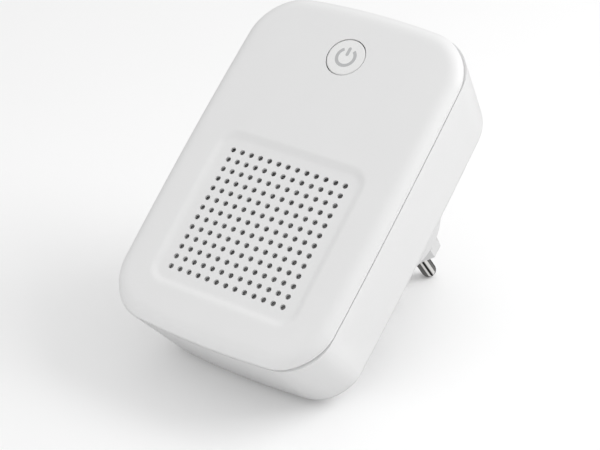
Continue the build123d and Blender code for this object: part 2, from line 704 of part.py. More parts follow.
with BuildPart() as button_cap:
    with BuildSketch(at(FLANGE_TOP_REACH, BUTTON_Z)):
        Circle(BUTTON_DIAMETER / 2)
    extrude(amount=CROWN_REACH - FLANGE_TOP_REACH)
    add(crown_block(0), mode=Mode.INTERSECT)
    fillet(button_cap.faces().sort_by(Axis.Y)[0].edges(), BUTTON_EDGE_R)
    with BuildSketch(at(FLANGE_TOP_REACH, BUTTON_Z)):
        Circle(BUTTON_DIAMETER / 2 + BUTTON_FLANGE_WIDTH)
    extrude(amount=-BUTTON_FLANGE_THICKNESS)
    with BuildSketch(at(FLANGE_TOP_REACH - BUTTON_FLANGE_THICKNESS, BUTTON_Z)):
        Circle(BUTTON_DIAMETER / 2 - BUTTON_WALL)
    extrude(
        amount=BUTTON_FACE_REACH - BUTTON_SKIN - FLANGE_TOP_REACH + BUTTON_FLANGE_THICKNESS,
        mode=Mode.SUBTRACT,
    )
    with BuildSketch(at(BUTTON_FACE_REACH - BUTTON_SKIN, BUTTON_Z)):
        add(power_symbol())
    extrude(amount=2 * BUTTON_SKIN, mode=Mode.SUBTRACT)
    with BuildSketch(at(FLANGE_TOP_REACH - BUTTON_FLANGE_THICKNESS, BUTTON_Z)):
        Circle(STEM_DIAMETER / 2)
        Rectangle(BUTTON_DIAMETER - BUTTON_WALL, WEB_THICKNESS)
        Rectangle(WEB_THICKNESS, BUTTON_DIAMETER - BUTTON_WALL)
    extrude(amount=WEB_HEIGHT)
    with BuildSketch(at(STEM_END_REACH, BUTTON_Z)):
        Circle(STEM_DIAMETER / 2)
    extrude(amount=STEM_DROP)
write(button_cap.part, "button_cap")

# === Switch, lamp and their board ===============================================================
SWITCH_BODY_TOP_REACH = SWITCH_TOP_REACH - SWITCH_PLATE_THICKNESS
BORE_DIAMETER = PLUNGER_DIAMETER + 2 * PLUNGER_BORE_GAP
with BuildPart() as switch_body:
    with BuildSketch(at(BUTTON_BOARD_FRONT_REACH, BUTTON_Z)):
        RectangleRounded(SWITCH_SIZE, SWITCH_SIZE, SWITCH_CORNER_R)
    extrude(amount=SWITCH_BODY_TOP_REACH - BUTTON_BOARD_FRONT_REACH)
    with BuildSketch(at(SWITCH_BODY_TOP_REACH, BUTTON_Z)):
        Circle(BORE_DIAMETER / 2)
    extrude(amount=-PLUNGER_BORE_DEPTH, mode=Mode.SUBTRACT)
write(switch_body.part, "switch_body")

with BuildPart() as switch_plate:
    with BuildSketch(at(SWITCH_BODY_TOP_REACH, BUTTON_Z)):
        RectangleRounded(SWITCH_SIZE, SWITCH_SIZE, SWITCH_CORNER_R)
        Circle(BORE_DIAMETER / 2, mode=Mode.SUBTRACT)
    extrude(amount=SWITCH_PLATE_THICKNESS)
write(switch_plate.part, "switch_plate")

with BuildPart() as switch_plunger:
    with BuildSketch(at(SWITCH_TOP_REACH - PLUNGER_SEAT_DEPTH, BUTTON_Z)):
        Circle(PLUNGER_DIAMETER / 2)
    extrude(amount=PLUNGER_HEIGHT + PLUNGER_SEAT_DEPTH)
    chamfer(switch_plunger.faces().sort_by(Axis.Y)[0].edges(), PLUNGER_CHAMFER)
write(switch_plunger.part, "switch_plunger")

with BuildPart() as indicator_led:
    with BuildSketch(at(BUTTON_BOARD_FRONT_REACH, BUTTON_Z, LED_OFFSET)):
        Circle(LED_FLANGE_DIAMETER / 2)
    extrude(amount=LED_FLANGE_HEIGHT)
    with BuildSketch(at(BUTTON_BOARD_FRONT_REACH, BUTTON_Z, LED_OFFSET)):
        Circle(LED_DIAMETER / 2)
    extrude(amount=LED_HEIGHT)
    fillet(indicator_led.faces().sort_by(Axis.Y)[0].edges(), LED_DOME_R)
write(indicator_led.part, "indicator_led")

LINK_Z = BUTTON_Z - LINK_DROP
LINK_LENGTH = LINK_PIN_COUNT * LINK_PIN_PITCH
with BuildPart() as button_board:
    with BuildSketch(at(BUTTON_BOARD_BACK_REACH, BUTTON_Z)):
        RectangleRounded(BUTTON_BOARD_WIDTH, BUTTON_BOARD_HEIGHT, BOARD_CORNER_R)
        with button_post_places():
            Circle(SMALL_SCREW_DIAMETER / 2 + SCREW_CLEARANCE, mode=Mode.SUBTRACT)
    extrude(amount=BOARD_THICKNESS)
write(button_board.part, "button_board")

write(
    screws(
        button_post_places(),
        2,
        at(BUTTON_BOARD_BACK_REACH, BUTTON_Z),
        SMALL_SCREW_DIAMETER,
        BOARD_THICKNESS + BUTTON_SCREW_BITE,
        SMALL_HEAD_DIAMETER,
        SMALL_HEAD_HEIGHT,
    ),
    "button_board_screws",
)

with BuildPart() as link_header:
    with BuildSketch(at(BOARD_FRONT_REACH, LINK_Z)):
        Rectangle(LINK_LENGTH, LINK_BASE_WIDTH)
        with GridLocations(LINK_PIN_PITCH, 1, LINK_PIN_COUNT, 1):
            Rectangle(LINK_PIN_SIZE, LINK_PIN_SIZE, mode=Mode.SUBTRACT)
    extrude(amount=LINK_BASE_HEIGHT)
write(link_header.part, "link_header")

with BuildPart() as link_pins:
    with BuildSketch(at(BOARD_FRONT_REACH, LINK_Z)):
        with GridLocations(LINK_PIN_PITCH, 1, LINK_PIN_COUNT, 1):
            Rectangle(LINK_PIN_SIZE, LINK_PIN_SIZE)
    extrude(amount=BUTTON_BOARD_BACK_REACH - BOARD_FRONT_REACH)
write(link_pins.part, "link_pins")

# === Main board ===================================================================================
with BuildPart() as main_board:
    with BuildSketch(at(BOARD_BACK_REACH, MAIN_BOARD_CENTRE_Z)):
        RectangleRounded(MAIN_BOARD_WIDTH, MAIN_BOARD_HEIGHT, BOARD_CORNER_R)
        with main_board_places():
            Circle(SMALL_SCREW_DIAMETER / 2 + SCREW_CLEARANCE, mode=Mode.SUBTRACT)
    extrude(amount=BOARD_THICKNESS)
write(main_board.part, "main_board")

write(
    screws(
        main_board_places(),
        4,
        back_facing(BOARD_FRONT_REACH, MAIN_BOARD_CENTRE_Z),
        SMALL_SCREW_DIAMETER,
        BOARD_THICKNESS + MAIN_SCREW_BITE,
        SMALL_HEAD_DIAMETER,
        SMALL_HEAD_HEIGHT,
    ),
    "main_board_screws",
)

with BuildPart() as mains_capacitor:
    add(blocks([MAINS_CAP_PLACE], MAINS_CAP_SIZE, BOARD_FRONT_REACH))
    fillet(mains_capacitor.edges().filter_by(Axis.Y), BLOCK_EDGE_R)
write(mains_capacitor.part, "mains_capacitor")

# The core is a rectangular frame with a round middle leg, wound with the coil.
with BuildPart() as transformer_core:
    with BuildSketch(at(BOARD_FRONT_REACH, CORE_PLACE[1], CORE_PLACE[0])):
        Rectangle(CORE_SIZE[0], CORE_LEG)
        with Locations((0, (CORE_SIZE[1] - CORE_LEG) / 2), (0, -(CORE_SIZE[1] - CORE_LEG) / 2)):
            Rectangle(CORE_SIZE[0], CORE_LEG)
        with Locations(((CORE_SIZE[0] - CORE_LEG) / 2, 0), (-(CORE_SIZE[0] - CORE_LEG) / 2, 0)):
            Rectangle(CORE_LEG, CORE_SIZE[1])
    extrude(amount=CORE_SIZE[2])
write(transformer_core.part, "transformer_core")

COIL_WINDOW_X = CORE_SIZE[0] / 2 - CORE_LEG
COIL_WINDOW_Z = CORE_SIZE[1] / 2 - CORE_LEG
with BuildPart() as transformer_coil:
    with BuildSketch(at(BOARD_FRONT_REACH + COIL_STAND, CORE_PLACE[1], CORE_PLACE[0])):
        Rectangle(2 * COIL_WINDOW_X - 2 * COIL_GAP, 2 * COIL_WINDOW_Z - 2 * COIL_GAP)
        Rectangle(2 * COIL_WINDOW_X, CORE_LEG + 2 * COIL_GAP, mode=Mode.SUBTRACT)
    extrude(amount=CORE_SIZE[2] - 2 * COIL_STAND)
write(transformer_coil.part, "transformer_coil")

with BuildPart() as reservoir_capacitors:
    with BuildSketch(at(BOARD_FRONT_REACH)):
        with Locations(*CAN_PLACES):
            Circle(CAN_DIAMETER / 2)
    extrude(amount=CAN_HEIGHT)
    fillet(reservoir_capacitors.faces().sort_by(Axis.Y)[:2].edges(), CAN_EDGE_R)
write(reservoir_capacitors.part, "reservoir_capacitors")

with BuildPart() as fuse:
    fuse_end = (FUSE_PLACE[0] - FUSE_LENGTH / 2, 0, 0)
    with BuildSketch(Plane(origin=fuse_end, z_dir=(1, 0, 0), x_dir=(0, 1, 0))):
        with Locations((-BOARD_FRONT_REACH - FUSE_DIAMETER / 2, FUSE_PLACE[1])):
            Circle(FUSE_DIAMETER / 2)
    extrude(amount=FUSE_LENGTH)
    chamfer(fuse.edges().filter_by(GeomType.CIRCLE), FUSE_CHAMFER)
write(fuse.part, "fuse")

write(blocks([BRIDGE_PLACE], BRIDGE_SIZE, BOARD_FRONT_REACH), "bridge_rectifier")
write(blocks(TRANSISTOR_PLACES, TRANSISTOR_SIZE, BOARD_FRONT_REACH), "drive_transistors")
write(blocks(RESISTOR_PLACES, RESISTOR_SIZE, BOARD_FRONT_REACH), "resistors")

with BuildPart() as controller_chip:
    add(blocks([CHIP_PLACE], CHIP_SIZE, BOARD_FRONT_REACH))
    with BuildSketch(at(BOARD_FRONT_REACH, CHIP_PLACE[1], CHIP_PLACE[0])):
        with GridLocations(CHIP_LEG_PITCH, 1, CHIP_LEGS_PER_SIDE, 1):
            Rectangle(CHIP_LEG_WIDTH, CHIP_LEG_SPAN)
    extrude(amount=CHIP_LEG_THICKNESS)
write(controller_chip.part, "controller_chip")

# === Loudspeaker ====================================================================================
with BuildPart() as dust_mesh:
    with BuildSketch(at(MESH_BACK_REACH, GRILLE_CENTRE_Z)) as mesh_face:
        Rectangle(MESH_SIZE, MESH_SIZE)
        chamfer(mesh_face.vertices(), MESH_CORNER_CUT)
    extrude(amount=MESH_THICKNESS)
write(dust_mesh.part, "dust_mesh")

with BuildPart() as tweeter_gasket:
    with BuildSketch(at(FLANGE_FRONT_REACH, GRILLE_CENTRE_Z)):
        Circle(SPEAKER_FLANGE_DIAMETER / 2)
        Circle(GASKET_INNER_DIAMETER / 2, mode=Mode.SUBTRACT)
    extrude(amount=GASKET_THICKNESS)
write(tweeter_gasket.part, "tweeter_gasket")

with BuildPart() as horn_bore:
    with BuildSketch(at(HORN_BACK_REACH, GRILLE_CENTRE_Z)):
        Circle(HORN_THROAT_DIAMETER / 2)
    with BuildSketch(at(FLANGE_FRONT_REACH, GRILLE_CENTRE_Z)):
        Circle(HORN_MOUTH_DIAMETER / 2)
    loft()

with BuildPart() as tweeter_frame:
    with BuildSketch(at(FLANGE_BACK_REACH, GRILLE_CENTRE_Z)):
        Circle(SPEAKER_FLANGE_DIAMETER / 2)
        SlotCenterToCenter(SPEAKER_SCREW_SPACING, SPEAKER_EAR_WIDTH)
        with speaker_screw_places():
            Circle(SMALL_SCREW_DIAMETER / 2 + SCREW_CLEARANCE, mode=Mode.SUBTRACT)
    extrude(amount=SPEAKER_FLANGE_THICKNESS)
    with BuildSketch(at(HORN_BACK_REACH, GRILLE_CENTRE_Z)):
        Circle(HORN_DIAMETER / 2)
    extrude(amount=HORN_DEPTH)
    add(horn_bore.part, mode=Mode.SUBTRACT)
write(tweeter_frame.part, "tweeter_frame")

# A thin cone: its flat rim is clamped behind the horn and its middle sits on the piezo plate.
CAP_OUTER_R = HORN_DIAMETER / 2
CONE_RIM_R = CAP_OUTER_R - CONE_RIM_INSET
CONE_EDGE_R = HORN_THROAT_DIAMETER / 2
CONE_MIDDLE_R = CONE_CENTRE_DIAMETER / 2
with BuildPart() as tweeter_cone:
    with BuildSketch(Plane.XY.offset(GRILLE_CENTRE_Z)):
        with BuildLine():
            Polyline(
                (0, -CONE_APEX_REACH),
                (CONE_MIDDLE_R, -CONE_APEX_REACH),
                (CONE_EDGE_R, -CAP_FRONT_REACH),
                (CONE_RIM_R, -CAP_FRONT_REACH),
                (CONE_RIM_R, -HORN_BACK_REACH),
                (CONE_EDGE_R, -HORN_BACK_REACH),
                (CONE_MIDDLE_R, -CONE_APEX_REACH - CONE_THICKNESS),
                (0, -CONE_APEX_REACH - CONE_THICKNESS),
                close=True,
            )
        make_face()
    revolve(axis=Axis((0, 0, GRILLE_CENTRE_Z), (0, 1, 0)))
write(tweeter_cone.part, "tweeter_cone")

with BuildPart() as piezo_plate:
    with BuildSketch(at(PIEZO_PLATE_REACH, GRILLE_CENTRE_Z)):
        Circle(PIEZO_PLATE_DIAMETER / 2)
    extrude(amount=PIEZO_PLATE_THICKNESS)
write(piezo_plate.part, "piezo_plate")

with BuildPart() as piezo_ceramic:
    with BuildSketch(at(PIEZO_CERAMIC_REACH, GRILLE_CENTRE_Z)):
        Circle(PIEZO_CERAMIC_DIAMETER / 2)
    extrude(amount=PIEZO_CERAMIC_THICKNESS)
write(piezo_ceramic.part, "piezo_ceramic")

with BuildPart() as tweeter_back_cap:
    with BuildSketch(at(CAP_BACK_REACH, GRILLE_CENTRE_Z)):
        Circle(CAP_OUTER_R)
    extrude(amount=BACK_CAP_DEPTH)
    fillet(tweeter_back_cap.faces().sort_by(Axis.Y)[-1].edges(), BACK_CAP_EDGE_R)
    with BuildSketch(at(CAP_BACK_REACH + BACK_CAP_WALL, GRILLE_CENTRE_Z)):
        Circle(CAP_OUTER_R - BACK_CAP_RIM)
    extrude(amount=BACK_CAP_DEPTH, mode=Mode.SUBTRACT)
write(tweeter_back_cap.part, "tweeter_back_cap")

with BuildPart() as tweeter_terminals:
    with BuildSketch(at(CAP_BACK_REACH, GRILLE_CENTRE_Z)):
        with GridLocations(TERMINAL_SPACING, 1, 2, 1):
            Rectangle(TERMINAL_SIZE[0], TERMINAL_SIZE[1])
    extrude(amount=-TERMINAL_SIZE[2])
write(tweeter_terminals.part, "tweeter_terminals")

TERMINAL_MIDDLE_REACH = CAP_BACK_REACH - TERMINAL_SIZE[2] / 2
with BuildPart() as tweeter_leads:
    for side in (1, -1):
        route = (
            (side * (TERMINAL_SPACING + TERMINAL_SIZE[0]) / 2, -TERMINAL_MIDDLE_REACH, GRILLE_CENTRE_Z),
            (side * SPEAKER_PAD_SPACING / 2, -TERMINAL_MIDDLE_REACH, GRILLE_CENTRE_Z),
            (side * SPEAKER_PAD_SPACING / 2, -BOARD_FRONT_REACH, GRILLE_CENTRE_Z),
        )
        add(lead(route, SPEAKER_LEAD_DIAMETER))
write(tweeter_leads.part, "tweeter_leads")

write(
    screws(
        speaker_screw_places(),
        2,
        at(FLANGE_BACK_REACH, GRILLE_CENTRE_Z),
        SMALL_SCREW_DIAMETER,
        SPEAKER_FLANGE_THICKNESS + SPEAKER_SCREW_BITE,
        SMALL_HEAD_DIAMETER,
        SMALL_HEAD_HEIGHT,
    ),
    "tweeter_screws",
)
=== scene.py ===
import json
import logging
import math
from dataclasses import dataclass, field
from enum import Enum
from typing import Callable, Protocol

import bpy
from mathutils import Matrix, Vector


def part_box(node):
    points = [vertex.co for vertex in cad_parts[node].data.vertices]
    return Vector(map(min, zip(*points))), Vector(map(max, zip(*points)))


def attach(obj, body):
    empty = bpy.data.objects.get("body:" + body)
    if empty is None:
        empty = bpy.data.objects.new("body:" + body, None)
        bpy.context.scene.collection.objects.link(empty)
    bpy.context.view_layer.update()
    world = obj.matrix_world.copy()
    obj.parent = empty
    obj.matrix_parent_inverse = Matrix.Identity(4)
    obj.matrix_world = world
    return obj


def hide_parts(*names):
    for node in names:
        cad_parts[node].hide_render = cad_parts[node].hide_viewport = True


logging.basicConfig(level=logging.INFO, format="%(message)s")
log = logging.getLogger("repeller")

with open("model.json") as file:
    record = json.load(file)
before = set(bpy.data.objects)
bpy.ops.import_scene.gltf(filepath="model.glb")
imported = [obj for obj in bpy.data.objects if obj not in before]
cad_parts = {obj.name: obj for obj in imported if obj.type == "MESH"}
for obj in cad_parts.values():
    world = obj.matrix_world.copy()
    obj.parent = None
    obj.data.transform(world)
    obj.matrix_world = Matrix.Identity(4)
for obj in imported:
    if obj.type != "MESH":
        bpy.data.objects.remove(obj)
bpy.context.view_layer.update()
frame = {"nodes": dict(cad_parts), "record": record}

MM = 0.001

Colour = tuple[float, float, float]
Place = tuple[float, float, float]


class Slot(str, Enum):
    """The record's material slots, one for each finish."""

    SHELL = "satin_white_shell"
    PLUG = "white_plug"
    PINS = "nickel_pins"
    BUTTON = "button_white"
    BUTTON_MARK = "button_grey"
    DARK_PLASTIC = "dark_plastic"
    SWITCH_STEEL = "switch_steel"
    SCREWS = "screw_steel"
    BOARD = "board_green"
    TINNED = "tinned_copper"
    FILM_CAPACITOR = "capacitor_yellow"
    FERRITE = "ferrite_grey"
    COIL_TAPE = "coil_tape"
    CAN_SLEEVE = "can_sleeve"
    FUSE = "fuse_body"
    RESISTOR = "resistor_black"
    DUST_MESH = "mesh_black"
    FOAM = "foam_black"
    CONE = "cone_paper"
    BRASS = "brass_plate"
    CERAMIC = "ceramic_silver"
    LIVE_LEAD = "lead_red"
    NEUTRAL_LEAD = "lead_blue"
    LAMP = "lamp_clear"
    LABEL = "label_silver"


# --- Shader bench ---------------------------------------------------------------------------


class Bench:
    """A node tree under construction, with short calls for adding and joining its nodes."""

    def __init__(self, tree: bpy.types.NodeTree) -> None:
        """Start on an empty tree.

        Args:
            tree: the tree of a material, a world or a node group.
        """
        self.tree = tree
        tree.nodes.clear()

    def add(self, kind: str, **settings: object) -> bpy.types.Node:
        """Add a node and set its properties.

        Args:
            kind: the node's type, such as "ShaderNodeMix".
            settings: properties of the node by name.

        Returns:
            The new node.
        """
        node = self.tree.nodes.new(kind)
        for name, value in settings.items():
            setattr(node, name, value)
        return node

    def join(self, source: bpy.types.NodeSocket, target: bpy.types.NodeSocket) -> None:
        """Link an output socket to an input socket."""
        self.tree.links.new(source, target)

    def noise(
        self,
        where: bpy.types.NodeSocket,
        scale: bpy.types.NodeSocket | float,
        detail: float = 3.0,
    ) -> bpy.types.NodeSocket:
        """Add a noise texture.

        Args:
            where: the coordinates that it is read at.
            scale: how many lumps lie along a metre, a socket or a number.
            detail: how many finer layers it adds.

        Returns:
            The noise, about 0 to 1.
        """
        texture = self.add("ShaderNodeTexNoise")
        texture.inputs["Detail"].default_value = detail
        self.join(where, texture.inputs["Vector"])
        if isinstance(scale, bpy.types.NodeSocket):
            self.join(scale, texture.inputs["Scale"])
        else:
            texture.inputs["Scale"].default_value = scale
        return texture.outputs["Fac"]

    def math(
        self,
        operation: str,
        first: bpy.types.NodeSocket,
        second: bpy.types.NodeSocket | float = 0.0,
    ) -> bpy.types.NodeSocket:
        """Do arithmetic on one or two values.

        Args:
            operation: the arithmetic, such as "MULTIPLY".
            first: the first value.
            second: the second value, a socket or a number. Some operations don't read it.

        Returns:
            The result.
        """
        node = self.add("ShaderNodeMath", operation=operation)
        self.join(first, node.inputs[0])
        if isinstance(second, bpy.types.NodeSocket):
            self.join(second, node.inputs[1])
        else:
            node.inputs[1].default_value = second
        return node.outputs["Value"]

    def spread(
        self,
        value: bpy.types.NodeSocket,
        low: float,
        high: float,
        start: float = 0.0,
        end: float = 1.0,
    ) -> bpy.types.NodeSocket:
        """Map a value from one range to another, clamped.

        Args:
            value: what is mapped.
            low: the result at the start of the range.
            high: the result at its end.
            start: where the range starts.
            end: where the range ends.

        Returns:
            The mapped value.
        """
        node = self.add("ShaderNodeMapRange")
        node.inputs["From Min"].default_value = start
        node.inputs["From Max"].default_value = end
        node.inputs["To Min"].default_value = low
        node.inputs["To Max"].default_value = high
        self.join(value, node.inputs["Value"])
        return node.outputs["Result"]

    def blend(
        self, mask: bpy.types.NodeSocket, first: bpy.types.NodeSocket | Colour, second: Colour
    ) -> bpy.types.NodeSocket:
        """Blend two colours by a mask.

        Args:
            mask: 0 for the first colour, 1 for the second.
            first: the first colour, a socket or a fixed colour.
            second: the second colour.

        Returns:
            The blended colour.
        """
        node = self.add("ShaderNodeMix", data_type="RGBA")
        ends = [socket for socket in node.inputs if socket.type == "RGBA"]
        for socket, colour in zip(ends, (first, second)):
            if isinstance(colour, bpy.types.NodeSocket):
                self.join(colour, socket)
            else:
                socket.default_value = (*colour, 1.0)
        self.join(mask, node.inputs["Factor"])
        return next(socket for socket in node.outputs if socket.type == "RGBA")

    def group(self, tree: bpy.types.NodeTree, **values: float) -> bpy.types.Node:
        """Add a node group and set its inputs.

        Args:
            tree: the group's tree.
            values: the inputs' values by name.

        Returns:
            The group's node.
        """
        node = self.add("ShaderNodeGroup", node_tree=tree)
        for label, value in values.items():
            node.inputs[label].default_value = value
        return node


# No colour is made paler than this.
PALEST = 0.98


def shade(colour: Colour, factor: float) -> Colour:
    """A colour made lighter or darker.

    Args:
        colour: the colour that is changed.
        factor: above 1 for lighter, below 1 for darker.

    Returns:
        The new colour, kept below full white.
    """
    return tuple(min(channel * factor, PALEST) for channel in colour)


def per_metre(pitch_mm: float) -> float:
    """How many of a pattern's repeats fit in a metre."""
    return 1 / (pitch_mm * MM)


@dataclass(frozen=True)
class Effect:
    """An effect that several finishes share, kept as a node group that is built once."""

    name: str
    takes: tuple[str, ...]
    gives: tuple[str, ...]
    fill: Callable[[Bench, bpy.types.Node, bpy.types.Node], None]

    def tree(self) -> bpy.types.NodeTree:
        """The group's tree, built when it is first asked for.

        Returns:
            The tree, with the effect's inputs and outputs, all plain values.
        """
        if self.name in bpy.data.node_groups:
            return bpy.data.node_groups[self.name]
        tree = bpy.data.node_groups.new(self.name, "ShaderNodeTree")
        for way, labels in (("INPUT", self.takes), ("OUTPUT", self.gives)):
            for label in labels:
                tree.interface.new_socket(label, in_out=way, socket_type="NodeSocketFloat")
        bench = Bench(tree)
        self.fill(bench, bench.add("NodeGroupInput"), bench.add("NodeGroupOutput"))
        return tree


def fill_fine_skin(bench: Bench, given: bpy.types.Node, result: bpy.types.Node) -> None:
    """Small grain for the height and larger clouds for the tone.

    Args:
        bench: the group's bench.
        given: the group's inputs, Grain and Clouds, in lumps per metre.
        result: the group's outputs, Height and Tone.
    """
    where = bench.add("ShaderNodeTexCoord").outputs["Object"]
    bench.join(bench.noise(where, given.outputs["Grain"], 4.0), result.inputs["Height"])
    bench.join(bench.noise(where, given.outputs["Clouds"], 2.0), result.inputs["Tone"])


def fill_painted_edge_highlight(bench: Bench, given: bpy.types.Node, result: bpy.types.Node) -> None:
    """A mask of the edges that stand out, which get a painted highlight.

    Args:
        bench: the group's bench.
        given: the group's inputs, Start and End, in pointiness.
        result: the group's output, Mask.
    """
    reach = bench.add("ShaderNodeMapRange")
    bench.join(bench.add("ShaderNodeNewGeometry").outputs["Pointiness"], reach.inputs["Value"])
    bench.join(given.outputs["Start"], reach.inputs["From Min"])
    bench.join(given.outputs["End"], reach.inputs["From Max"])
    bench.join(reach.outputs["Result"], result.inputs["Mask"])


def fill_drawn_lines(bench: Bench, given: bpy.types.Node, result: bpy.types.Node) -> None:
    """Fine lines along Y, as drawing, turning or brushing leaves them.

    Args:
        bench: the group's bench.
        given: the group's inputs, Across and Along, in lines per metre.
        result: the group's output, Lines.
    """
    scale = bench.add("ShaderNodeCombineXYZ")
    for axis, label in (("X", "Across"), ("Y", "Along"), ("Z", "Across")):
        bench.join(given.outputs[label], scale.inputs[axis])
    stretched = bench.add("ShaderNodeVectorMath", operation="MULTIPLY")
    bench.join(bench.add("ShaderNodeTexCoord").outputs["Object"], stretched.inputs[0])
    bench.join(scale.outputs["Vector"], stretched.inputs[1])
    bench.join(bench.noise(stretched.outputs["Vector"], 1.0, 2.0), result.inputs["Lines"])


FINE_SKIN = Effect("fine_skin", ("Grain", "Clouds"), ("Height", "Tone"), fill_fine_skin)
PAINTED_EDGE_HIGHLIGHT = Effect("painted_edge_highlight", ("Start", "End"), ("Mask",), fill_painted_edge_highlight)
DRAWN_LINES = Effect("drawn_lines", ("Across", "Along"), ("Lines",), fill_drawn_lines)


# --- Finishes -----------------------------------------------------------------------------------

# The part of a noise's 0 to 1 that most of it lies in.
NOISE_RANGE = (0.3, 0.7)


class Finish(Protocol):
    """Anything that can build a material."""

    def build(self, name: str) -> bpy.types.Material:
        """Build the material under a name."""
        ...


def new_material(name: str) -> tuple[bpy.types.Material, Bench, bpy.types.Node]:
    """Start a material.

    Args:
        name: the material's name.

    Returns:
        The material, its bench, and its shader, which already feeds the output.
    """
    material = bpy.data.materials.new(name)
    material.use_nodes = True
    bench = Bench(material.node_tree)
    shader = bench.add("ShaderNodeBsdfPrincipled")
    output = bench.add("ShaderNodeOutputMaterial")
    bench.join(shader.outputs["BSDF"], output.inputs["Surface"])
    return material, bench, shader


def add_fine_skin(bench: Bench, grain_mm: float, cloud_mm: float) -> bpy.types.Node:
    """Add the fine skin of a moulded, cast or lacquered surface.

    Args:
        bench: the material's bench.
        grain_mm: the size of the grain.
        cloud_mm: the size of the clouds.

    Returns:
        The group's node, with outputs Height and Tone.
    """
    return bench.group(FINE_SKIN.tree(), Grain=per_metre(grain_mm), Clouds=per_metre(cloud_mm))


def raise_surface(
    bench: Bench, shader: bpy.types.Node, height: bpy.types.NodeSocket, depth_mm: float
) -> None:
    """Give a shader a bumpy surface.

    Args:
        bench: the material's bench.
        shader: the shader that gets the bumps.
        height: the height pattern, 0 to 1.
        depth_mm: how deep the pattern goes.
    """
    bump = bench.add("ShaderNodeBump")
    bump.inputs["Distance"].default_value = depth_mm * MM
    bench.join(height, bump.inputs["Height"])
    bench.join(bump.outputs["Normal"], shader.inputs["Normal"])


@dataclass(frozen=True)
class MouldedPlastic:
    """Injection moulded plastic with a fine grain, faint clouding and a painted highlight on its
    edges.

    The roughness varies by polish either way. Edges that stand out are painted paler by the factor
    highlight_gain, a painted highlight, from highlight_start to highlight_end in pointiness.
    """

    colour: Colour
    roughness: float
    grain_mm: float = 0.35
    grain_depth_mm: float = 0.01
    cloud_mm: float = 14.0
    cloud: float = 0.015
    highlight_gain: float = 1.03
    highlight_start: float = 0.52
    highlight_end: float = 0.62
    polish: float = 0.05
    specular: float = 0.5

    def build(self, name: str) -> bpy.types.Material:
        """Build the material.

        Args:
            name: the material's name.

        Returns:
            The material.
        """
        material, bench, shader = new_material(name)
        skin = add_fine_skin(bench, self.grain_mm, self.cloud_mm)
        edge = bench.group(PAINTED_EDGE_HIGHLIGHT.tree(), Start=self.highlight_start, End=self.highlight_end)
        dark, pale = shade(self.colour, 1 - self.cloud), shade(self.colour, 1 + self.cloud)
        body = bench.blend(skin.outputs["Tone"], dark, pale)
        # Edges that stand out are painted paler: a painted highlight.
        highlighted = bench.blend(edge.outputs["Mask"], body, shade(self.colour, self.highlight_gain))
        bench.join(highlighted, shader.inputs["Base Color"])
        smooth, rough = self.roughness - self.polish, self.roughness + self.polish
        gloss = bench.spread(skin.outputs["Height"], smooth, rough, *NOISE_RANGE)
        bench.join(gloss, shader.inputs["Roughness"])
        shader.inputs["Specular IOR Level"].default_value = self.specular
        raise_surface(bench, shader, skin.outputs["Height"], self.grain_depth_mm)
        return material


@dataclass(frozen=True)
class DrawnMetal:
    """Plated or bare metal with fine lines along its length and faint tarnish.

    The roughness varies by the share polish either way.
    """

    colour: Colour
    roughness: float
    lines_mm: float = 0.12
    run_mm: float = 8.0
    line_depth_mm: float = 0.002
    tarnish: float = 0.9
    grain_mm: float = 0.8
    cloud_mm: float = 3.0
    polish: float = 0.4

    def build(self, name: str) -> bpy.types.Material:
        """Build the material.

        Args:
            name: the material's name.

        Returns:
            The material.
        """
        material, bench, shader = new_material(name)
        lines = bench.group(
            DRAWN_LINES.tree(), Across=per_metre(self.lines_mm), Along=per_metre(self.run_mm)
        )
        skin = add_fine_skin(bench, self.grain_mm, self.cloud_mm)
        tint = bench.blend(skin.outputs["Tone"], shade(self.colour, self.tarnish), self.colour)
        bench.join(tint, shader.inputs["Base Color"])
        smooth, rough = self.roughness * (1 - self.polish), self.roughness * (1 + self.polish)
        gloss = bench.spread(lines.outputs["Lines"], smooth, rough, *NOISE_RANGE)
        bench.join(gloss, shader.inputs["Roughness"])
        shader.inputs["Metallic"].default_value = 1.0
        raise_surface(bench, shader, lines.outputs["Lines"], self.line_depth_mm)
        return material


@dataclass(frozen=True)
class CircuitLacquer:
    """Green solder lacquer over copper tracks, which show through as paler bands.

    A band rises from track_start to track_end, as shares of a cell of track_pitch_mm.
    """

    colour: Colour
    track_colour: Colour
    track_pitch_mm: float = 2.4
    track_start: float = 0.32
    track_end: float = 0.36
    track_height_mm: float = 0.03
    roughness: float = 0.3
    grain_mm: float = 0.5
    cloud_mm: float = 9.0
    polish: float = 0.08

    def build(self, name: str) -> bpy.types.Material:
        """Build the material.

        Args:
            name: the material's name.

        Returns:
            The material.
        """
        material, bench, shader = new_material(name)
        where = bench.add("ShaderNodeTexCoord").outputs["Object"]
        cells = bench.add("ShaderNodeTexVoronoi", distance="CHEBYCHEV", feature="F1")
        cells.inputs["Scale"].default_value = per_metre(self.track_pitch_mm)
        bench.join(where, cells.inputs["Vector"])
        distance = cells.outputs["Distance"]
        tracks = bench.spread(distance, 0.0, 1.0, self.track_start, self.track_end)
        bench.join(bench.blend(tracks, self.colour, self.track_colour), shader.inputs["Base Color"])
        skin = add_fine_skin(bench, self.grain_mm, self.cloud_mm)
        smooth, rough = self.roughness - self.polish, self.roughness + self.polish
        bench.join(bench.spread(skin.outputs["Tone"], smooth, rough), shader.inputs["Roughness"])
        raise_surface(bench, shader, tracks, self.track_height_mm)
        return material


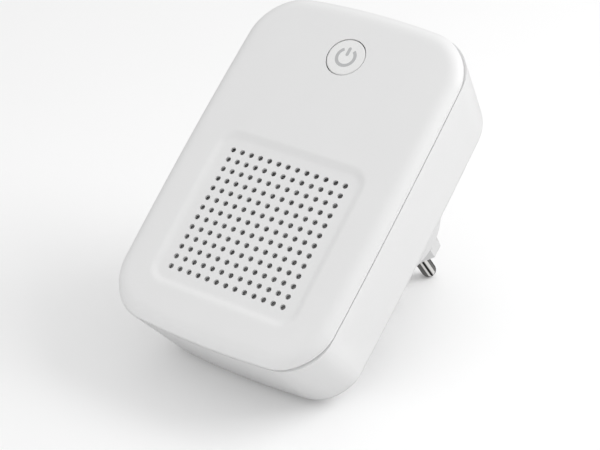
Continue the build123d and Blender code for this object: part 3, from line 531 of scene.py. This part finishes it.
@dataclass(frozen=True)
class WovenCloth:
    """Fine woven cloth: threads cross at a pitch, with painted shade in the gaps between them."""

    colour: Colour
    thread_mm: float = 0.16
    thread_depth_mm: float = 0.05
    painted_gap_shade: float = 0.3
    roughness: float = 0.85
    polish: float = 0.15

    def build(self, name: str) -> bpy.types.Material:
        """Build the material.

        Args:
            name: the material's name.

        Returns:
            The material.
        """
        material, bench, shader = new_material(name)
        where = bench.add("ShaderNodeTexCoord").outputs["Object"]
        ridges = []
        for direction in ("X", "Z"):
            thread = bench.add("ShaderNodeTexWave", wave_type="BANDS", bands_direction=direction)
            thread.inputs["Scale"].default_value = per_metre(self.thread_mm) / math.tau
            bench.join(where, thread.inputs["Vector"])
            ridges.append(thread.outputs["Fac"])
        weave = bench.math("MAXIMUM", ridges[0], ridges[1])
        # The gaps between the threads are painted darker: painted shade.
        tint = bench.blend(weave, shade(self.colour, self.painted_gap_shade), self.colour)
        bench.join(tint, shader.inputs["Base Color"])
        gloss = bench.spread(weave, self.roughness, self.roughness - self.polish)
        bench.join(gloss, shader.inputs["Roughness"])
        raise_surface(bench, shader, weave, self.thread_depth_mm)
        return material


@dataclass(frozen=True)
class ClearResin:
    """Tinted clear resin, faintly cloudy inside."""

    colour: Colour
    roughness: float = 0.08
    transmission: float = 0.6
    haze: float = 0.9
    grain_mm: float = 1.2
    cloud_mm: float = 2.0
    polish: float = 0.08

    def build(self, name: str) -> bpy.types.Material:
        """Build the material.

        Args:
            name: the material's name.

        Returns:
            The material.
        """
        material, bench, shader = new_material(name)
        skin = add_fine_skin(bench, self.grain_mm, self.cloud_mm)
        tint = bench.blend(skin.outputs["Tone"], shade(self.colour, self.haze), self.colour)
        bench.join(tint, shader.inputs["Base Color"])
        gloss = bench.spread(skin.outputs["Height"], self.roughness, self.roughness + self.polish)
        bench.join(gloss, shader.inputs["Roughness"])
        shader.inputs["Transmission Weight"].default_value = self.transmission
        return material


FINISHES: dict[Slot, Finish] = {
    Slot.SHELL: MouldedPlastic((0.83, 0.83, 0.83), 0.42),
    Slot.PLUG: MouldedPlastic((0.74, 0.74, 0.74), 0.40),
    Slot.PINS: DrawnMetal((0.86, 0.85, 0.83), 0.06, line_depth_mm=0.0005),
    Slot.BUTTON: MouldedPlastic((0.84, 0.84, 0.835), 0.30, grain_depth_mm=0.004),
    Slot.BUTTON_MARK: MouldedPlastic((0.50, 0.505, 0.51), 0.25, grain_depth_mm=0.003),
    Slot.DARK_PLASTIC: MouldedPlastic((0.03, 0.03, 0.03), 0.45, cloud=0.1),
    Slot.SWITCH_STEEL: DrawnMetal((0.62, 0.62, 0.62), 0.3),
    Slot.SCREWS: DrawnMetal((0.62, 0.62, 0.60), 0.28, lines_mm=0.2, run_mm=2.0),
    Slot.BOARD: CircuitLacquer((0.03, 0.20, 0.08), (0.06, 0.30, 0.12)),
    Slot.TINNED: DrawnMetal((0.75, 0.74, 0.70), 0.2),
    Slot.FILM_CAPACITOR: MouldedPlastic((0.75, 0.55, 0.08), 0.4, cloud=0.04),
    Slot.FERRITE: MouldedPlastic(
        (0.09, 0.09, 0.095), 0.6, grain_mm=0.15, grain_depth_mm=0.03, cloud=0.15
    ),
    Slot.COIL_TAPE: MouldedPlastic((0.72, 0.50, 0.10), 0.25, grain_mm=0.6, cloud=0.1),
    Slot.CAN_SLEEVE: MouldedPlastic((0.03, 0.04, 0.08), 0.2, cloud=0.1),
    Slot.FUSE: MouldedPlastic((0.38, 0.24, 0.11), 0.25, cloud=0.1),
    Slot.RESISTOR: MouldedPlastic((0.04, 0.04, 0.045), 0.5, cloud=0.1),
    Slot.DUST_MESH: WovenCloth((0.68, 0.68, 0.68)),
    Slot.FOAM: MouldedPlastic(
        (0.03, 0.03, 0.03), 0.95, grain_mm=0.2, grain_depth_mm=0.06, cloud=0.3
    ),
    Slot.CONE: MouldedPlastic(
        (0.08, 0.08, 0.08), 0.9, grain_mm=0.25, grain_depth_mm=0.05, cloud=0.3
    ),
    Slot.BRASS: DrawnMetal((0.75, 0.56, 0.25), 0.28),
    Slot.CERAMIC: DrawnMetal((0.72, 0.71, 0.68), 0.4, lines_mm=0.3, run_mm=0.3),
    Slot.LIVE_LEAD: MouldedPlastic((0.45, 0.04, 0.03), 0.35, cloud=0.05),
    Slot.NEUTRAL_LEAD: MouldedPlastic((0.03, 0.09, 0.38), 0.35, cloud=0.05),
    Slot.LAMP: ClearResin((0.60, 0.85, 0.60)),
    Slot.LABEL: DrawnMetal((0.70, 0.71, 0.72), 0.42, lines_mm=0.15, run_mm=30.0),
}


@dataclass
class Wardrobe:
    """Builds each finish once and dresses the pieces with it."""

    made: dict[Slot, bpy.types.Material] = field(default_factory=dict)

    def material(self, slot: Slot) -> bpy.types.Material:
        """The material of a slot, built when it is first asked for.

        Args:
            slot: the slot.

        Returns:
            Its material.
        """
        if slot not in self.made:
            self.made[slot] = FINISHES[slot].build(slot.value)
        return self.made[slot]

    def dress_frame(self) -> None:
        """Give every CAD node the finish that its record names."""
        for subpart in frame["record"]["subparts"]:
            node = frame["nodes"][subpart["node"]]
            material = self.material(Slot(subpart["material_slot"]))
            for place in node.material_slots:
                place.material = material
            log.info("dressed %s in %s", subpart["node"], subpart["material_slot"])


# --- Modelled pieces ----------------------------------------------------------------------------


def start_fresh() -> None:
    """Leave edit mode and deselect everything, so that an operator acts only on its own piece."""
    if bpy.context.mode != "OBJECT":
        bpy.ops.object.mode_set(mode="OBJECT")
    bpy.ops.object.select_all(action="DESELECT")


def make_active(piece: bpy.types.Object) -> None:
    """Select one piece alone and make it the active one.

    Args:
        piece: the piece.
    """
    start_fresh()
    piece.select_set(True)
    bpy.context.view_layer.objects.active = piece


def apply_modifier(piece: bpy.types.Object, modifier: bpy.types.Modifier) -> None:
    """Apply a modifier to its piece's mesh."""
    make_active(piece)
    bpy.ops.object.modifier_apply(modifier=modifier.name)


def combine(piece: bpy.types.Object, tool: bpy.types.Object, operation: str) -> None:
    """Cut, join or intersect a piece with a tool, and throw the tool away.

    Args:
        piece: the piece that is changed.
        tool: the solid that it is combined with.
        operation: "DIFFERENCE", "UNION" or "INTERSECT".
    """
    modifier = piece.modifiers.new(operation.lower(), "BOOLEAN")
    modifier.operation = operation
    modifier.object = tool
    apply_modifier(piece, modifier)
    bpy.data.objects.remove(tool)


def pull_back(piece: bpy.types.Object, depth: float) -> None:
    """Extrude a whole sheet along +Y, so that it becomes a solid.

    Args:
        piece: the sheet.
        depth: how far it is extruded, in metres.
    """
    make_active(piece)
    bpy.ops.object.mode_set(mode="EDIT")
    bpy.ops.mesh.select_all(action="SELECT")
    bpy.ops.mesh.extrude_region_move(TRANSFORM_OT_translate={"value": (0, depth, 0)})
    bpy.ops.mesh.select_all(action="SELECT")
    bpy.ops.mesh.normals_make_consistent(inside=False)
    bpy.ops.object.mode_set(mode="OBJECT")


def settle(piece: bpy.types.Object, name: str) -> None:
    """Name a finished piece and put its place, turn and scale into its mesh.

    Args:
        piece: the piece.
        name: its name.
    """
    make_active(piece)
    bpy.ops.object.transform_apply(location=True, rotation=True, scale=True)
    piece.name = name
    piece.data.name = name


def ease(share: float) -> float:
    """A smooth step from 0 to 1, level at both ends."""
    share = min(max(share, 0.0), 1.0)
    return share * share * (3 - 2 * share)


@dataclass
class CoverSkin:
    """The crowned front cover: a soft rolled edge, a softly dished grille and its round holes.

    Its face is set by a formula, because the crown, the roll and the dish's soft border are
    shallow curves that no extrusion or bevel gives. Sizes are in millimetres. The skin is thinner
    behind the grille, and the roll runs on past the outline until edge_overrun, so that the
    outline cuts it cleanly.
    """

    corner_r: float = 11.5
    side_bow: float = 0.5
    end_bow: float = 1.9
    crown_across_r: float = 595.0
    crown_up_r: float = 1652.0
    roll_width: float = 4.8
    roll_drop: float = 1.8
    roll_power: float = 3.5
    skin: float = 1.8
    grille_skin: float = 0.7
    parting_gap: float = 0.5
    dish_depth: float = 0.72
    dish_side: float = 42.7
    dish_corner_r: float = 5.0
    dish_border: float = 2.1
    grille_z: float = -26.0
    holes_per_side: int = 13
    hole_pitch: float = 2.7
    hole_d: float = 1.4
    hole_sides: int = 24
    button_hole_d: float = 10.4
    cell: float = 0.5
    hollow_cell: float = 2.0
    spare: float = 1.0
    outline_points: int = 240
    outline_step: float = 0.001
    edge_overrun: float = 1.3
    crease_deg: float = 25.0
    width: float = field(init=False)
    height: float = field(init=False)
    centre_z: float = field(init=False)
    front_y: float = field(init=False)
    back_y: float = field(init=False)

    def __post_init__(self) -> None:
        """Read the cover's place and overall size from the frame."""
        low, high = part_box("front_cover")
        self.width = (high.x - low.x) / MM
        self.height = (high.z - low.z) / MM
        self.centre_z = (high.z + low.z) / 2 / MM
        self.front_y = low.y / MM
        self.back_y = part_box("rear_housing")[0].y / MM - self.parting_gap

    def inward(self, x: float, z: float, inset: float = 0.0) -> float:
        """How far a place lies inside the outline.

        Args:
            x: the place's x.
            z: the place's z.
            inset: how far the outline is drawn in.

        Returns:
            The distance, negative outside.
        """
        rise = z - self.centre_z
        corner_x = self.width / 2 - self.side_bow
        corner_z = self.height / 2 - self.end_bow
        half_width = self.width / 2 - self.side_bow * (rise / corner_z) ** 2
        half_height = self.height / 2 - self.end_bow * (x / corner_x) ** 2
        over_x = abs(x) - half_width + self.corner_r
        over_z = abs(rise) - half_height + self.corner_r
        if over_x > 0 and over_z > 0:
            return self.corner_r - math.hypot(over_x, over_z) - inset
        return self.corner_r - max(over_x, over_z) - inset

    def dish(self, x: float, z: float) -> float:
        """How deep the grille's dish is at a place.

        Args:
            x: the place's x.
            z: the place's z.

        Returns:
            The depth, 0 outside the dish.
        """
        over_x = abs(x) - self.dish_side / 2 + self.dish_corner_r
        over_z = abs(z - self.grille_z) - self.dish_side / 2 + self.dish_corner_r
        if over_x > 0 and over_z > 0:
            inside = self.dish_corner_r - math.hypot(over_x, over_z)
        else:
            inside = self.dish_corner_r - max(over_x, over_z)
        return self.dish_depth * ease(inside / self.dish_border)

    def crown(self, x: float, z: float) -> float:
        """The y of the crowned face at a place, before its roll and its dish."""
        rise = z - self.centre_z
        return self.front_y + x**2 / (2 * self.crown_across_r) + rise**2 / (2 * self.crown_up_r)

    def face(self, x: float, z: float) -> float:
        """The y of the outer face at a place."""
        near_edge = min(max(1 - self.inward(x, z) / self.roll_width, 0.0), self.edge_overrun)
        return self.crown(x, z) + self.roll_drop * near_edge**self.roll_power + self.dish(x, z)

    def inner_face(self, x: float, z: float) -> float:
        """The y of the inner face at a place, nearer to the outer face behind the grille."""
        thinned = (self.skin - self.dish_depth - self.grille_skin) / self.dish_depth
        return self.crown(x, z) + self.skin - thinned * self.dish(x, z)

    def block(self, face: Callable[[float, float], float], cell: float) -> bpy.types.Object:
        """A block behind a curved face.

        Args:
            face: gives the y of the face at x and z.
            cell: the size of the face's quads.

        Returns:
            The block, wider and deeper than the cover.
        """
        start_fresh()
        across = self.width + 2 * self.spare
        up = self.height + 2 * self.spare
        bpy.ops.mesh.primitive_grid_add(
            x_subdivisions=round(across / cell), y_subdivisions=round(up / cell), size=1
        )
        block = bpy.context.object
        for vertex in block.data.vertices:
            x = vertex.co.x * across
            z = self.centre_z + vertex.co.y * up
            vertex.co = Vector((x, face(x, z), z)) * MM
        pull_back(block, (self.back_y - self.front_y + self.spare) * MM)
        return block

    def prism(self, inset: float) -> bpy.types.Object:
        """A straight prism on the cover's outline.

        Args:
            inset: how far the outline is drawn in.

        Returns:
            The prism, from well in front of the cover to its back edge, or past it when drawn in.
        """
        start_fresh()
        bpy.ops.mesh.primitive_circle_add(vertices=self.outline_points, radius=1, fill_type="NGON")
        prism = bpy.context.object
        back = self.back_y + (self.spare / 2 if inset else 0.0)
        for vertex in prism.data.vertices:
            way = vertex.co.copy()
            near, far = 0.0, self.height
            while far - near > self.outline_step:
                middle = (near + far) / 2
                x, z = way.x * middle, self.centre_z + way.y * middle
                if self.inward(x, z, inset) > 0:
                    near = middle
                else:
                    far = middle
            x, z = way.x * near, self.centre_z + way.y * near
            vertex.co = Vector((x, self.front_y - self.spare, z)) * MM
        pull_back(prism, (back - self.front_y + self.spare) * MM)
        return prism

    def drill(self, diameter: float, x: float, z: float) -> bpy.types.Object:
        """A round cutter through the face at a place.

        Args:
            diameter: the hole's diameter.
            x: the hole's x.
            z: the hole's z.

        Returns:
            The cutter.
        """
        start_fresh()
        bpy.ops.mesh.primitive_cylinder_add(
            vertices=self.hole_sides,
            radius=diameter / 2 * MM,
            depth=(self.skin + 4 * self.spare) * MM,
            location=(x * MM, (self.front_y + self.skin / 2) * MM, z * MM),
            rotation=(math.pi / 2, 0, 0),
        )
        return bpy.context.object

    def grille_drills(self) -> bpy.types.Object:
        """The cutters of all the grille's holes.

        Returns:
            One object that holds them all.
        """
        reach = self.hole_pitch * (self.holes_per_side - 1) / 2
        drills = self.drill(self.hole_d, -reach, self.grille_z - reach)
        bpy.ops.object.transform_apply(location=True, rotation=True, scale=True)
        for step in ((self.hole_pitch * MM, 0, 0), (0, 0, self.hole_pitch * MM)):
            row = drills.modifiers.new("row", "ARRAY")
            row.count = self.holes_per_side
            row.use_relative_offset = False
            row.use_constant_offset = True
            row.constant_offset_displace = step
            apply_modifier(drills, row)
        return drills

    def build(self, wardrobe: Wardrobe) -> None:
        """Model the cover, dress it and let it stand for the plain one.

        Args:
            wardrobe: gives the finish.
        """
        cover = self.block(self.face, self.cell)
        combine(cover, self.prism(0.0), "INTERSECT")
        hollow = self.block(self.inner_face, self.hollow_cell)
        combine(hollow, self.prism(self.skin), "INTERSECT")
        combine(cover, hollow, "DIFFERENCE")
        combine(cover, self.grille_drills(), "DIFFERENCE")
        low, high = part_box("button_cap")
        cover_hole = self.drill(self.button_hole_d, 0.0, (low.z + high.z) / 2 / MM)
        combine(cover, cover_hole, "DIFFERENCE")
        bpy.ops.object.shade_smooth_by_angle(angle=math.radians(self.crease_deg))
        settle(cover, "cover_skin")
        cover.data.materials.clear()
        cover.data.materials.append(wardrobe.material(Slot.SHELL))
        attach(cover, "housing")
        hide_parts("front_cover")
        log.info("modelled the front cover with %d faces", len(cover.data.polygons))


# --- Studio -------------------------------------------------------------------------------------


@dataclass(frozen=True)
class SoftLight:
    """A square soft light, placed round the object as the viewer sees it."""

    name: str
    turn_deg: float
    rise_deg: float
    power_w: float
    distance: float = 0.7
    side: float = 0.5


@dataclass(frozen=True)
class MirrorCard:
    """A card beside the pins that only shiny surfaces see.

    It runs from a start to an end, as shares of a turn about the pins' axis. Between two cards the
    brightness runs evenly from the one to the other.
    """

    start: float
    end: float
    bright: float


@dataclass
class Studio:
    """The pale floor, the soft lights and the camera.

    The repeller lies back on its pin tips and its lower rear edge, so the floor leans
    against it until both touch. The surround's light grows from horizon, at the floor's level and
    below, to overhead. The floor throws back floor_bounce of what it would as the camera sees it,
    and its paint is mottled by floor_mottle. mirror_turn turns all the mirror cards about the
    pins, and mirror_dip is how far along the pins a direction points where they begin to show
    and where they show fully.
    """

    floor_side: float = 6.0
    eye: Place = (0.21994, -0.40417, -0.13269)
    target: Place = (-0.00016, -0.03707, -0.01689)
    upright: Place = (0.0, -0.7886, 0.6149)
    lens_mm: float = 109.0
    overhead: float = 0.99
    horizon: float = 0.35
    floor_tint: float = 0.9
    floor_mottle: float = 0.01
    floor_clouds: float = 12.0
    floor_bounce: float = 0.95
    floor_glow: float = 0.05
    flattest_deg: float = 30.0
    steepest_deg: float = 46.0
    lean_step_deg: float = 0.001
    lights: tuple[SoftLight, ...] = (
        SoftLight("key", 92.0, 38.0, 1.45, distance=0.55, side=0.4),
        SoftLight("front", -50.0, 2.0, 0.95),
    )
    mirror_cards: tuple[MirrorCard, ...] = (
        MirrorCard(0.0, 0.32, 0.12),
        MirrorCard(0.345, 0.415, 0.7),
        MirrorCard(0.43, 0.505, 0.02),
        MirrorCard(0.53, 0.53, 0.5),
        MirrorCard(0.55, 0.65, 0.85),
        MirrorCard(0.675, 0.675, 0.10),
        MirrorCard(0.69, 0.81, 0.2),
        MirrorCard(0.83, 1.0, 0.08),
    )
    mirror_turn: float = 0.577
    mirror_dip: tuple[float, float] = (0.35, 0.6)
    lean_deg: float = field(init=False)

    def __post_init__(self) -> None:
        """Lean the floor until the pins and the housing both touch it."""
        low, high = self.flattest_deg, self.steepest_deg
        while high - low > self.lean_step_deg:
            self.lean_deg = (low + high) / 2
            if self.lowest("live_pin") < self.lowest("rear_housing"):
                low = self.lean_deg
            else:
                high = self.lean_deg
        log.info("the floor leans by %.2f degrees", self.lean_deg)

    def up(self) -> Vector:
        """The floor's upward normal."""
        lean = math.radians(self.lean_deg)
        return Vector((0.0, -math.cos(lean), math.sin(lean)))

    def lowest(self, node: str) -> float:
        """How far along the upward normal the lowest point of a CAD node lies."""
        up = self.up()
        return min(up.dot(vertex.co) for vertex in frame["nodes"][node].data.vertices)

    def floor_material(self) -> bpy.types.Material:
        """Pale matt paint, clear from below.

        Returns:
            The material.
        """
        material = bpy.data.materials.new("pale_floor")
        material.use_nodes = True
        bench = Bench(material.node_tree)
        paint = bench.add("ShaderNodeBsdfDiffuse")
        where = bench.add("ShaderNodeTexCoord").outputs["Object"]
        dark, pale = self.floor_tint - self.floor_mottle, self.floor_tint + self.floor_mottle
        cloud = bench.spread(bench.noise(where, self.floor_clouds), dark, pale)
        seen = bench.add("ShaderNodeLightPath").outputs["Is Camera Ray"]
        share = bench.spread(seen, self.floor_bounce, 1.0)
        bench.join(bench.math("MULTIPLY", cloud, share), paint.inputs["Color"])
        glow = bench.add("ShaderNodeEmission")
        glow.inputs["Strength"].default_value = self.floor_glow
        lit = bench.add("ShaderNodeAddShader")
        bench.join(paint.outputs["BSDF"], lit.inputs[0])
        bench.join(glow.outputs["Emission"], lit.inputs[1])
        clear = bench.add("ShaderNodeBsdfTransparent")
        side = bench.add("ShaderNodeMixShader")
        bench.join(bench.add("ShaderNodeNewGeometry").outputs["Backfacing"], side.inputs["Fac"])
        bench.join(lit.outputs["Shader"], side.inputs[1])
        bench.join(clear.outputs["BSDF"], side.inputs[2])
        bench.join(side.outputs["Shader"], bench.add("ShaderNodeOutputMaterial").inputs["Surface"])
        return material

    def lay_floor(self) -> None:
        """Lay a pale floor that shows only from above."""
        bpy.ops.object.select_all(action="DESELECT")
        up = self.up()
        bpy.ops.mesh.primitive_plane_add(
            size=self.floor_side,
            location=up * self.lowest("live_pin"),
            rotation=up.to_track_quat("Z", "X").to_euler(),
        )
        floor = bpy.context.object
        floor.name = "studio_floor"
        floor.data.materials.append(self.floor_material())
        floor.visible_glossy = False
        log.info("laid the floor")

    def bearing(self, turn_deg: float, rise_deg: float) -> Vector:
        """A direction from the object, as the viewer sees it.

        Args:
            turn_deg: how far to the viewer's right of the viewer it lies, about the floor's normal.
            rise_deg: how high it stands above the floor.

        Returns:
            The direction, of length 1.
        """
        up = self.up()
        sight = Vector(self.eye) - Vector(self.target)
        level = (sight - up * sight.dot(up)).normalized()
        turned = Matrix.Rotation(math.radians(turn_deg), 3, up) @ level
        rise = math.radians(rise_deg)
        return turned * math.cos(rise) + up * math.sin(rise)

    def hang_lights(self) -> None:
        """Place the soft lights, aimed at the object."""
        for light in self.lights:
            lamp = bpy.data.lights.new(light.name, "AREA")
            lamp.shape = "SQUARE"
            lamp.size = light.side
            lamp.energy = light.power_w
            holder = bpy.data.objects.new(light.name, lamp)
            bpy.context.collection.objects.link(holder)
            way = self.bearing(light.turn_deg, light.rise_deg)
            holder.location = Vector(self.target) + way * light.distance
            holder.rotation_euler = (-way).to_track_quat("-Z", "Y").to_euler()
            log.info("hung the %s light", light.name)

    def mirror_pattern(
        self, bench: Bench, way: bpy.types.NodeSocket
    ) -> tuple[bpy.types.NodeSocket, bpy.types.NodeSocket]:
        """Light and dark cards along the pins, which show only in shiny surfaces.

        Args:
            bench: the world's bench.
            way: the direction looked in.

        Returns:
            How bright the cards are in that direction, and how fully they show there.
        """
        split = bench.add("ShaderNodeSeparateXYZ")
        bench.join(way, split.inputs["Vector"])
        around = bench.math("ARCTAN2", split.outputs["Z"], split.outputs["X"])
        turns = bench.math("ADD", bench.math("MULTIPLY", around, 1 / math.tau), self.mirror_turn)
        ramp = bench.add("ShaderNodeValToRGB")
        bands = ramp.color_ramp.elements
        edges = [
            (place, card.bright)
            for card in self.mirror_cards
            for place in sorted({card.start, card.end})
        ]
        while len(bands) < len(edges):
            bands.new(0.5)
        for band, (place, bright) in zip(bands, edges):
            band.position = place
            band.color = (bright, bright, bright, 1.0)
        bench.join(bench.math("FRACT", turns), ramp.inputs["Fac"])
        return ramp.outputs["Color"], bench.spread(split.outputs["Y"], 0.0, 1.0, *self.mirror_dip)

    def light_surround(self) -> None:
        """White all round for the camera, softer white for the light that falls on the object."""
        world = bpy.data.worlds.new("surround")
        bpy.context.scene.world = world
        world.use_nodes = True
        bench = Bench(world.node_tree)
        seen = bench.add("ShaderNodeBackground")
        seen.inputs["Color"].default_value = (1.0, 1.0, 1.0, 1.0)
        felt = bench.add("ShaderNodeBackground")
        felt.inputs["Color"].default_value = (1.0, 1.0, 1.0, 1.0)
        rise = bench.add("ShaderNodeVectorMath", operation="DOT_PRODUCT")
        way = bench.add("ShaderNodeTexCoord").outputs["Generated"]
        bench.join(way, rise.inputs[0])
        rise.inputs[1].default_value = self.up()
        sky = bench.spread(rise.outputs["Value"], self.horizon, self.overhead, 0.0, 1.0)
        cards, downward = self.mirror_pattern(bench, way)
        path = bench.add("ShaderNodeLightPath")
        shiny = bench.math("MULTIPLY", path.outputs["Is Glossy Ray"], downward)
        either = bench.add("ShaderNodeMix")
        bench.join(shiny, either.inputs["Factor"])
        bench.join(sky, either.inputs["A"])
        bench.join(cards, either.inputs["B"])
        bench.join(either.outputs["Result"], felt.inputs["Strength"])
        mix = bench.add("ShaderNodeMixShader")
        bench.join(path.outputs["Is Camera Ray"], mix.inputs["Fac"])
        bench.join(felt.outputs["Background"], mix.inputs[1])
        bench.join(seen.outputs["Background"], mix.inputs[2])
        bench.join(mix.outputs["Shader"], bench.add("ShaderNodeOutputWorld").inputs["Surface"])

    def place_camera(self) -> None:
        """A long lens at the eye, level with the floor."""
        eye = Vector(self.eye)
        back = (eye - Vector(self.target)).normalized()
        right = Vector(self.upright).cross(back).normalized()
        over = back.cross(right)
        lens = bpy.data.cameras.new("eye")
        lens.lens = self.lens_mm
        camera = bpy.data.objects.new("eye", lens)
        bpy.context.collection.objects.link(camera)
        turn = Matrix((right, over, back)).transposed()
        camera.matrix_world = Matrix.Translation(eye) @ turn.to_4x4()
        bpy.context.scene.camera = camera
        bpy.context.scene.view_settings.view_transform = "Standard"
        log.info("placed the camera")

    def build(self) -> None:
        """Lay the floor, light the object and place the camera."""
        self.lay_floor()
        self.hang_lights()
        self.light_surround()
        self.place_camera()


def main() -> None:
    """Build the repeller's looks and the studio round it."""
    wardrobe = Wardrobe()
    wardrobe.dress_frame()
    CoverSkin().build(wardrobe)
    Studio().build()


if __name__ == "__main__":
    main()
